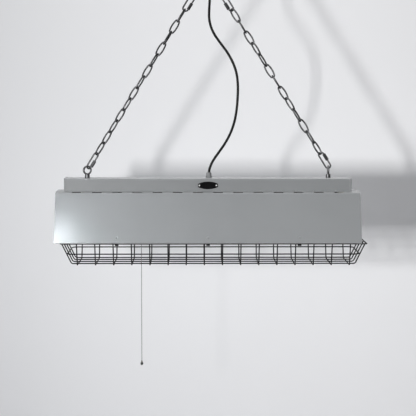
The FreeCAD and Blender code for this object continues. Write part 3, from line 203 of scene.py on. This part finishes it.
class Skin:
    """A material whose nodes are added one by one; a value that is a socket is linked, any other is set."""

    def __init__(self, name):
        self.material = bpy.data.materials.new(name)
        self.material.use_nodes = True
        self.tree = self.material.node_tree
        self.shader = self.tree.nodes["Principled BSDF"]
        self.place = self.add("ShaderNodeTexCoord").outputs["Object"]

    def put(self, socket, value):
        if isinstance(value, bpy.types.NodeSocket):
            self.tree.links.new(value, socket)
        else:
            socket.default_value = value

    def add(self, kind, inputs=None, **settings):
        node = self.tree.nodes.new(kind)
        for name, value in settings.items():
            setattr(node, name, value)
        for name, value in (inputs or {}).items():
            self.put(node.inputs[name], value)
        return node

    def surface(self, **values):
        """Sets or links the shader's sockets; an underscore in a name stands for a space."""
        for name, value in values.items():
            self.put(self.shader.inputs[name.replace("_", " ")], value)

    def coordinate(self, axis):
        """One of the object's own coordinates: X, Y or Z."""
        return self.add("ShaderNodeSeparateXYZ", {"Vector": self.place}).outputs[axis]

    def stretched(self, x, y, z):
        """The object's own coordinates, scaled apart along each axis."""
        mapping = self.add("ShaderNodeMapping", {"Vector": self.place, "Scale": (x, y, z)})
        return mapping.outputs["Vector"]

    def noise(self, scale, detail=2.0, roughness=0.5, place=None):
        node = self.add("ShaderNodeTexNoise", {
            "Vector": place or self.place,
            "Scale": scale,
            "Detail": detail,
            "Roughness": roughness,
        })
        return node.outputs["Fac"]

    def between(self, value, source, target=(0.0, 1.0)):
        """Value mapped from the source range to the target range, and held there."""
        node = self.add("ShaderNodeMapRange", {
            "Value": value,
            "From Min": source[0],
            "From Max": source[1],
            "To Min": target[0],
            "To Max": target[1],
        })
        return node.outputs["Result"]

    def math(self, operation, first, second=0.0):
        node = self.add("ShaderNodeMath", operation=operation)
        self.put(node.inputs[0], first)
        self.put(node.inputs[1], second)
        return node.outputs["Value"]

    def mix(self, share, first, second):
        """The first colour at share 0, the second at share 1."""
        node = self.add("ShaderNodeMix", data_type="RGBA")
        self.put(node.inputs["Factor"], share)
        for name, value in (("A", first), ("B", second)):
            socket = next(each for each in node.inputs if each.name == name and each.type == "RGBA")
            self.put(socket, value if isinstance(value, bpy.types.NodeSocket) else (*value, 1.0))
        return next(each for each in node.outputs if each.type == "RGBA")

    def bump(self, height, strength, distance, normal=None):
        inputs = {"Height": height, "Strength": strength, "Distance": distance}
        if normal:
            inputs["Normal"] = normal
        return self.add("ShaderNodeBump", inputs).outputs["Normal"]

    def edges(self, radius):
        """The normal with edges rounded by radius, and a mask that is 1 on those edges."""
        rounded = self.add("ShaderNodeBevel", {"Radius": radius}, samples=EDGE_SAMPLES).outputs["Normal"]
        flat = self.add("ShaderNodeNewGeometry").outputs["Normal"]
        dot = self.add("ShaderNodeVectorMath", operation="DOT_PRODUCT")
        self.put(dot.inputs[0], rounded)
        self.put(dot.inputs[1], flat)
        return rounded, self.between(dot.outputs["Value"], EDGE_TURN)


def shade(colour, factor):
    return tuple(min(1.0, channel * factor) for channel in colour)


# Materials, one function each


def sheet_paint(name, colour, roughness, coat, edge_share, edge_tone=RUBBED_SHEET, shaded_between=None, gloss=PLAIN_GLOSS):
    """Sprayed enamel on sheet steel: slow changes of tone, orange peel, and edges in another tone: bare
    steel from wear by default, and on the grey enamel a lighter grey that is partly wear and partly a
    painted highlight.

    Where two heights are given, a painted shade darkens the paint towards the top, from none at the first
    height to full at the second, in patches.
    """
    skin = Skin(name)
    cloud = skin.noise(5.0, detail=4.0, roughness=0.55)
    speck = skin.noise(420.0)
    handling_and_shade_noise = skin.noise(26.0, detail=5.0, roughness=0.7, place=skin.stretched(1.0, 1.6, 2.4))
    tone = skin.mix(skin.between(cloud, MIDDLE), shade(colour, 0.95), shade(colour, 1.04))
    tone = skin.mix(skin.between(speck, (0.62, 0.8), (0.0, 0.22)), tone, shade(colour, 0.72))
    rounded, edge = skin.edges(PAINT_EDGE)
    # Edges take another tone in patches: on the grey enamel a lighter grey, partly wear and partly a
    # painted highlight
    patches = skin.noise(95.0, detail=4.0, roughness=0.7)
    edge_marks = skin.math("MULTIPLY", edge, skin.between(patches, (0.3, 0.6), (edge_share * 0.3, edge_share)))
    tone = skin.mix(edge_marks, tone, edge_tone)
    # Painted shade: near the reflector's top a dark colour is mixed in for the shade inside it, broken into
    # patches by noise
    if shaded_between:
        shade_by_height = skin.between(skin.coordinate("Z"), shaded_between)
        shade_patches = skin.between(handling_and_shade_noise, (0.3, 0.6), (0.8, 0.97))
        tone = skin.mix(skin.math("MULTIPLY", shade_by_height, shade_patches), tone, PAINTED_SHADE)
    peel = skin.bump(skin.noise(520.0), strength=0.05, distance=0.0004, normal=rounded)
    waves = skin.bump(skin.noise(7.0, detail=1.0), strength=0.025, distance=0.012, normal=peel)
    skin.surface(Base_Color=tone, Normal=waves)
    skin.surface(Roughness=skin.between(handling_and_shade_noise, (0.3, 0.75), (roughness, roughness + 0.12)))
    skin.surface(Coat_Weight=coat, Coat_Roughness=0.13, Specular_IOR_Level=gloss)
    return skin.material


def steel(name, dark, light, roughness, rust, bare=0.92, gloss=PLAIN_GLOSS):
    """Steel with a bare, plated or dull skin: mottled, with rust in specks where rust is above 0."""
    skin = Skin(name)
    mottle = skin.noise(STEEL_GRAIN, detail=4.0, roughness=0.6)
    broad = skin.noise(STEEL_GRAIN / 12.0, detail=3.0)
    both = skin.math("MULTIPLY", mottle, skin.between(broad, (0.25, 0.75), (0.75, 1.3)))
    tone = skin.mix(skin.between(both, (0.32, 0.68)), dark, light)
    spots = skin.noise(STEEL_GRAIN * 0.7, detail=6.0, roughness=0.75)
    rusty = skin.between(spots, (0.64, 0.74), (0.0, rust))
    tone = skin.mix(rusty, tone, RUST)
    rounded, edge = skin.edges(STEEL_EDGE)
    tone = skin.mix(skin.math("MULTIPLY", edge, 0.45), tone, shade(light, 1.5))
    grain = skin.noise(STEEL_GRAIN * 5.0, detail=3.0)
    skin.surface(Base_Color=tone, Specular_IOR_Level=gloss)
    skin.surface(Metallic=skin.between(rusty, (0.0, 1.0), (bare, bare * RUST_METAL_SHARE)))
    skin.surface(Roughness=skin.between(mottle, MIDDLE, (roughness - 0.07, roughness + 0.12)))
    skin.surface(Normal=skin.bump(grain, strength=0.09, distance=0.0002, normal=rounded))
    return skin.material


def plastic(name, colour, roughness, age=0.06):
    """Moulded plastic with faint yellowing and handling marks."""
    skin = Skin(name)
    cloud = skin.noise(40.0, detail=4.0, roughness=0.6)
    marks = skin.noise(300.0, detail=3.0, roughness=0.7)
    aged = tuple(channel * (1 - fade * age) for channel, fade in zip(colour, YELLOWING))
    rounded, _ = skin.edges(PLASTIC_EDGE)
    skin.surface(Base_Color=skin.mix(skin.between(cloud, MIDDLE), colour, aged))
    skin.surface(Specular_IOR_Level=PLAIN_GLOSS)
    skin.surface(Roughness=skin.between(marks, (0.3, 0.75), (roughness, roughness + 0.16)))
    skin.surface(Normal=skin.bump(skin.noise(900.0), strength=0.06, distance=0.0002, normal=rounded))
    return skin.material


def rubber(name, colour):
    """Cable sheath: nearly black, with a little dust, and fine drawn lines."""
    skin = Skin(name)
    dust = skin.noise(60.0, detail=4.0, roughness=0.65)
    lines = skin.noise(900.0, place=skin.stretched(1.0, 1.0, 0.08))
    tone = skin.mix(skin.between(dust, (0.45, 0.8), (0.0, 0.35)), colour, shade(colour, 2.6))
    skin.surface(Base_Color=tone, Specular_IOR_Level=DULL_GLOSS)
    skin.surface(Roughness=skin.between(dust, (0.3, 0.75), (0.38, 0.6)))
    skin.surface(Normal=skin.bump(lines, strength=0.1, distance=0.0002))
    return skin.material


def lamp_glass(name):
    """A tube lined with white powder, a little grey where its filaments have aged the ends."""
    skin = Skin(name)
    from_middle = skin.math("ABSOLUTE", skin.coordinate("X"))
    aged = skin.between(from_middle, (TUBE_END - TUBE_AGED_LENGTH, TUBE_END), (0.0, 0.55))
    cloud = skin.noise(30.0, detail=3.0)
    white = skin.mix(skin.between(cloud, MIDDLE), (0.84, 0.85, 0.85), (0.8, 0.81, 0.8))
    skin.surface(Base_Color=skin.mix(aged, white, AGED_POWDER))
    skin.surface(Roughness=skin.between(cloud, MIDDLE, (0.09, 0.16)))
    skin.surface(Specular_IOR_Level=PLAIN_GLOSS, Coat_Weight=0.6, Coat_Roughness=0.04)
    return skin.material


def thread(name, colour):
    """Twisted string, with a fibre bump."""
    skin = Skin(name)
    fibre = skin.noise(2600.0, detail=3.0, roughness=0.7, place=skin.stretched(1.0, 1.0, 0.35))
    soil = skin.noise(35.0, detail=3.0)
    tone = skin.mix(skin.between(fibre, MIDDLE), shade(colour, 0.7), shade(colour, 1.15))
    tone = skin.mix(skin.between(soil, (0.4, 0.75), (0.0, 0.4)), tone, shade(colour, 0.6))
    skin.surface(Base_Color=tone, Specular_IOR_Level=DULL_GLOSS)
    skin.surface(Roughness=skin.between(fibre, MIDDLE, (0.75, 0.95)))
    skin.surface(Normal=skin.bump(fibre, strength=0.4, distance=0.0002))
    return skin.material


def stage_material(name, colour):
    """Pale matt paper that is seen only from its front, so that it hides nothing from behind."""
    skin = Skin(name)
    skin.surface(Base_Color=(*colour, 1.0), Roughness=0.9, Specular_IOR_Level=0.1)
    back = skin.add("ShaderNodeNewGeometry").outputs["Backfacing"]
    clear = skin.add("ShaderNodeBsdfTransparent").outputs["BSDF"]
    both = skin.add("ShaderNodeMixShader", {"Fac": back})
    skin.put(both.inputs[1], skin.shader.outputs["BSDF"])
    skin.put(both.inputs[2], clear)
    skin.put(skin.tree.nodes["Material Output"].inputs["Surface"], both.outputs["Shader"])
    return skin.material


# Finishes: one for each slot of the record, then those of single pieces and of the white lining

finishes = {
    # The grey enamel's lighter edges are partly wear and partly a painted highlight along its folds
    "grey_paint": sheet_paint("grey_enamel", GREY, roughness=0.29, coat=0.3, edge_share=0.9, edge_tone=EDGE_WEAR_AND_HIGHLIGHT_GREY),
    "ceiling_paint": sheet_paint("ceiling_enamel", (0.7, 0.7, 0.69), roughness=0.42, coat=0.2, edge_share=0.5),
    "chain_steel": steel("chain_steel", (0.04, 0.04, 0.042), (0.15, 0.15, 0.153), roughness=0.36, rust=0.4),
    "link_steel": steel("link_steel", (0.055, 0.055, 0.058), (0.17, 0.17, 0.174), roughness=0.4, rust=0.35),
    "eye_steel": steel("eye_steel", (0.08, 0.08, 0.084), (0.21, 0.21, 0.214), roughness=0.35, rust=0.35),
    "zinc_steel": steel("zinc_steel", (0.3, 0.3, 0.305), (0.52, 0.52, 0.525), roughness=0.34, rust=0.15),
    "guard_steel": steel(
        "guard_steel", (0.006, 0.006, 0.007), (0.02, 0.02, 0.022), roughness=0.46, rust=0.4,
        bare=0.1, gloss=DULL_GLOSS,
    ),
    "gland_metal": plastic("gland_metal", (0.2, 0.203, 0.207), roughness=0.42, age=0.0),
    "badge_enamel": sheet_paint(
        "badge_enamel", (0.003, 0.003, 0.0034), roughness=0.2, coat=0.0, edge_share=0.5, gloss=DULL_GLOSS,
    ),
    "black_rubber": rubber("black_rubber", (0.004, 0.004, 0.0042)),
    "lamp_glass": lamp_glass("lamp_glass"),
    "lamp_metal": steel("lamp_metal", (0.55, 0.55, 0.56), (0.72, 0.72, 0.73), roughness=0.3, rust=0.0),
    "brass": steel("brass", (0.42, 0.3, 0.12), (0.62, 0.46, 0.2), roughness=0.32, rust=0.1),
    "white_plastic": plastic("white_plastic", OFF_WHITE, roughness=0.26),
    "choke_enamel": sheet_paint("choke_enamel", (0.05, 0.05, 0.052), roughness=0.4, coat=0.1, edge_share=0.6),
    "lead_insulation": plastic("lead_insulation", (0.3, 0.3, 0.32), roughness=0.5),
    "pull_string": thread("pull_string", (0.2, 0.2, 0.195)),
    "bead_plastic": plastic("bead_plastic", (0.015, 0.015, 0.016), roughness=0.2),
}
# Heights between which the white lining and the switch take a painted shade near the reflector's top
shade_heights = [REFLECTOR_TOP - drop for drop in SHADE_BELOW_TOP]
bright_steel = steel(
    "bright_steel", (0.72, 0.72, 0.72), (0.85, 0.85, 0.85), roughness=0.4, rust=0.0, bare=0.3,
)
sleeve_steel = steel(
    "sleeve_steel", (0.02, 0.02, 0.021), (0.07, 0.07, 0.072), roughness=0.5, rust=0.3, bare=0.5,
)
# The switch's plastic and the white lining carry painted shade towards the reflector's top
top_shaded_plastic = sheet_paint(
    "top_shaded_plastic", OFF_WHITE, roughness=0.3, coat=0.0, edge_share=0.0, shaded_between=shade_heights,
)
white_enamel = sheet_paint(
    "white_enamel", (0.74, 0.745, 0.74), roughness=0.36, coat=0.35, edge_share=0.4, shaded_between=shade_heights,
)
bead_neck = plastic("bead_neck", (0.14, 0.13, 0.11), roughness=0.4)
own_finishes = {name: sleeve_steel for name in nodes if name.endswith("_sleeve")}
own_finishes.update(badge_rivets=bright_steel, switch_body=top_shaded_plastic, switch_lid=top_shaded_plastic)


def dress_nodes():
    """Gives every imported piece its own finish, or that of its slot."""
    for row in frame["record"]["subparts"]:
        mesh = nodes[row["node"]].data
        mesh.materials.clear()
        mesh.materials.append(own_finishes.get(row["node"], finishes[row["material_slot"]]))


def line_with_white(node, is_inside):
    """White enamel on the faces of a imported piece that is_inside picks."""
    mesh = nodes[node].data
    mesh.materials.append(white_enamel)
    for face in mesh.polygons:
        face.material_index = 1 if is_inside(face) else 0


# Meshes


def new_piece(name, verts, faces, slot):
    """A smooth mesh object in the frame with the finish of a material slot."""
    mesh = bpy.data.meshes.new(name)
    mesh.from_pydata(verts, [], faces)
    mesh.validate()
    mesh.polygons.foreach_set("use_smooth", [True] * len(mesh.polygons))
    mesh.materials.append(finishes[slot])
    piece = bpy.data.objects.new(name, mesh)
    scene.collection.objects.link(piece)
    return piece


def turned(name, axis, profile, sides, slot, ribs=0):
    """A ring turned about an upright axis from a closed profile of (radius, height, depth of its ribs)."""
    x, y = axis
    verts = []
    faces = []
    count = len(profile)
    for side in range(sides):
        angle = 2 * math.pi * side / sides
        for radius, height, depth in profile:
            reach = radius - depth * (1 + math.cos(ribs * angle)) / 2
            verts.append((x + reach * math.cos(angle), y + reach * math.sin(angle), height))
    for side in range(sides):
        here = side * count
        there = (side + 1) % sides * count
        for i in range(count):
            after = (i + 1) % count
            faces.append((here + i, there + i, there + after, here + after))
    return new_piece(name, verts, faces, slot)


def pull_bead():
    """An acorn on the end of the string: a black ball that draws in to a grey neck with a lip."""
    low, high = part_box("pull_bead")
    radius = (high.x - low.x) / 2
    bore = PULL_DIAMETER / 2 + BEAD_BORE_PLAY
    rim = bore + BEAD_DIMPLE * 2
    waist = low.z + radius
    profile = [(bore, low.z + BEAD_DIMPLE, 0.0)]
    for i in range(1, BEAD_STEPS + 1):
        angle = math.pi / 2 * i / BEAD_STEPS
        reach = max(rim, radius * math.sin(angle))
        profile.append((reach, low.z + radius * (1 - math.cos(angle)), 0.0))
    for share, reach in BEAD_NECK:
        profile.append((radius * reach, waist + (high.z - waist) * share, 0.0))
    profile.append((bore, high.z, 0.0))
    bead = turned("pull_acorn", (PULL_X, PULL_Y), profile, BEAD_SIDES, "bead_plastic")
    bead.data.materials.append(bead_neck)
    for face in bead.data.polygons:
        face.material_index = 1 if face.center.z > low.z + BEAD_BLACK_HEIGHT else 0
    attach(bead, "pull")
    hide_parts("pull_bead")
    return bead


def gland_cap():
    """The gland's domed nut, with ribs to grip it by."""
    low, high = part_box("gland_cap")
    radius = (high.x - low.x) / 2
    bore = CORD_DIAMETER / 2 + CAP_BORE_PLAY
    height = high.z - low.z
    profile = [(bore, low.z, 0.0)]
    for reach, share, depth in CAP_PROFILE:
        profile.append((radius * reach, low.z + height * share, depth))
    profile.append((bore, high.z, 0.0))
    cap = turned("gland_dome", (GLAND_X, 0.0), profile, CAP_SIDES, "gland_metal", CAP_RIBS)
    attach(cap, "fixture")
    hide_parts("gland_cap")


def route_line(name, points, steps):
    """Points read from the smooth line that has the route's points as its control points."""
    data = bpy.data.curves.new(name, "CURVE")
    data.dimensions = "3D"
    spline = data.splines.new("NURBS")
    spline.points.add(len(points) - 1)
    for point, place in zip(spline.points, points):
        point.co = (*place, 1.0)
    spline.order_u = 3
    spline.use_endpoint_u = True
    spline.resolution_u = steps
    holder = bpy.data.objects.new(name, data)
    scene.collection.objects.link(holder)
    bpy.context.view_layer.update()
    mesh = bpy.data.meshes.new_from_object(holder.evaluated_get(bpy.context.evaluated_depsgraph_get()))
    line = [vertex.co.copy() for vertex in mesh.vertices]
    bpy.data.objects.remove(holder)
    bpy.data.meshes.remove(mesh)
    return line


def tube_mesh(line, radius_at, sides):
    """Vertices and faces of a closed tube along a line that keeps to a plane of constant Y."""
    verts = []
    faces = []
    count = len(line)
    across = Vector((0.0, 1.0, 0.0))
    for i, place in enumerate(line):
        way = (line[min(i + 1, count - 1)] - line[max(i - 1, 0)]).normalized()
        other = way.cross(across)
        for side in range(sides):
            angle = 2 * math.pi * side / sides
            reach = radius_at(i, angle)
            verts.append(place + (across * math.cos(angle) + other * math.sin(angle)) * reach)
    for i in range(count - 1):
        for side in range(sides):
            following = (side + 1) % sides
            low = i * sides
            high = low + sides
            faces.append((low + side, low + following, high + following, high + side))
    faces.append(tuple(reversed(range(sides))))
    faces.append(tuple(range((count - 1) * sides, count * sides)))
    return verts, faces


def power_cord():
    """The cord from the gland to the ceiling grip, whose mouth squeezes its end a little."""
    route = [Vector((x, 0.0, SPINE_TOP + height)) for x, height in CORD_ROUTE]
    line = route_line("power_cord_line", route, CORD_STEPS)

    def squeezed(i, angle):
        near_grip = max(0.0, 1 - (line[-1].z - line[i].z) / CORD_SQUEEZE_LENGTH)
        return CORD_DIAMETER / 2 * (1 - CORD_SQUEEZE * near_grip)

    verts, faces = tube_mesh(line, squeezed, CORD_SIDES)
    cord = new_piece("power_cord_flex", verts, faces, "black_rubber")
    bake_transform(cord)
    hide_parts("power_cord")


def pull_string(bead):
    """A laid string: its strands show as lobes that turn along it."""
    low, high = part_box("pull_cord")
    route = [Vector((PULL_X, PULL_Y, z)) for z in (high.z, (low.z + high.z) / 2, low.z)]
    steps = int((high.z - low.z) / PULL_STEP / 2)
    line = route_line("pull_cord_line", route, steps)

    def lobes(i, angle):
        turn = 2 * math.pi * (line[0].z - line[i].z) / PULL_TWIST_PITCH
        groove = (1 - math.cos(PULL_STRANDS * angle + turn)) / 2
        return PULL_DIAMETER / 2 * (1 - PULL_STRAND_DEPTH * groove)

    verts, faces = tube_mesh(line, lobes, PULL_SIDES)
    string = new_piece("pull_cord_string", verts, faces, "pull_string")
    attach(string, "pull")
    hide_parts("pull_cord")


# Studio


def make_stage():
    """A wall behind the light that runs down into a floor in one curve."""
    half = STAGE_SIDE / 2
    section = [(WALL_Y, half), (WALL_Y, FLOOR_Z + STAGE_CURVE)]
    for i in range(1, STAGE_CURVE_STEPS + 1):
        angle = math.pi / 2 * i / STAGE_CURVE_STEPS
        y = WALL_Y - STAGE_CURVE * (1 - math.cos(angle))
        z = FLOOR_Z + STAGE_CURVE * (1 - math.sin(angle))
        section.append((y, z))
    section.append((-STAGE_SIDE, FLOOR_Z))
    verts = [(x, y, z) for y, z in section for x in (-half, half)]
    faces = [(2 * i, 2 * i + 2, 2 * i + 3, 2 * i + 1) for i in range(len(section) - 1)]
    mesh = bpy.data.meshes.new("stage")
    mesh.from_pydata(verts, [], faces)
    mesh.polygons.foreach_set("use_smooth", [True] * len(mesh.polygons))
    mesh.materials.append(stage_material("stage_paper", STAGE_COLOUR))
    stage = bpy.data.objects.new("stage", mesh)
    scene.collection.objects.link(stage)


def area_lamp(name, place, target, size, power, spread=180.0, shadow=True, colour=WHITE_LIGHT):
    """A lamp of size (width, height) that shines from place to target, with its spread in degrees."""
    data = bpy.data.lights.new(name, "AREA")
    data.shape = "RECTANGLE"
    data.size, data.size_y = size
    data.energy = power
    data.spread = math.radians(spread)
    data.use_shadow = shadow
    data.color = colour
    lamp = bpy.data.objects.new(name, data)
    lamp.location = place
    lamp.rotation_euler = (Vector(target) - Vector(place)).to_track_quat("-Z", "Y").to_euler()
    scene.collection.objects.link(lamp)


def make_lamps():
    """One lamp for the shadow on the wall, one for the skirt's highlight, and one to fill from above."""
    area_lamp(
        "side_lamp", place=(-1.28, -2.5, -0.485), target=WALL_RIGHT, size=(0.17, 0.36),
        power=13.4, spread=77.0,
    )
    area_lamp(
        "high_lamp", place=(-0.635, -2.07, 0.88), target=SKIRT_LEFT, size=(0.17, 0.17),
        power=1.15, spread=60.0, shadow=False, colour=PALE_BLUE_LIGHT,
    )
    area_lamp("overhead", place=(0.1, -0.25, 1.7), target=LIGHT_MIDDLE, size=(1.6, 0.8), power=33.5)


def make_world():
    world = bpy.data.worlds.new("studio")
    world.use_nodes = True
    background = world.node_tree.nodes["Background"]
    background.inputs["Color"].default_value = (*WORLD_COLOUR, 1.0)
    background.inputs["Strength"].default_value = WORLD_STRENGTH
    scene.world = world


def make_camera():
    data = bpy.data.cameras.new("camera")
    data.sensor_width = SENSOR
    data.lens = SENSOR * FOCAL_OVER_WIDTH
    camera = bpy.data.objects.new("camera", data)
    camera.location = (CAMERA_X, CAMERA_Y, SPINE_TOP + CAMERA_ABOVE_SPINE)
    camera.rotation_euler = (math.radians(90 - CAMERA_TILT), 0.0, math.radians(-CAMERA_YAW))
    scene.collection.objects.link(camera)
    scene.camera = camera


# The scene

dress_nodes()
line_with_white("reflector_shell", lambda face: face.normal.z < LOOKS_DOWN)
line_with_white("left_end_plate", lambda face: face.normal.x > -LOOKS_OUT)
line_with_white("right_end_plate", lambda face: face.normal.x < LOOKS_OUT)
gland_cap()
power_cord()
pull_string(pull_bead())
make_stage()
make_world()
make_lamps()
make_camera()
scene.view_settings.view_transform = "Standard"
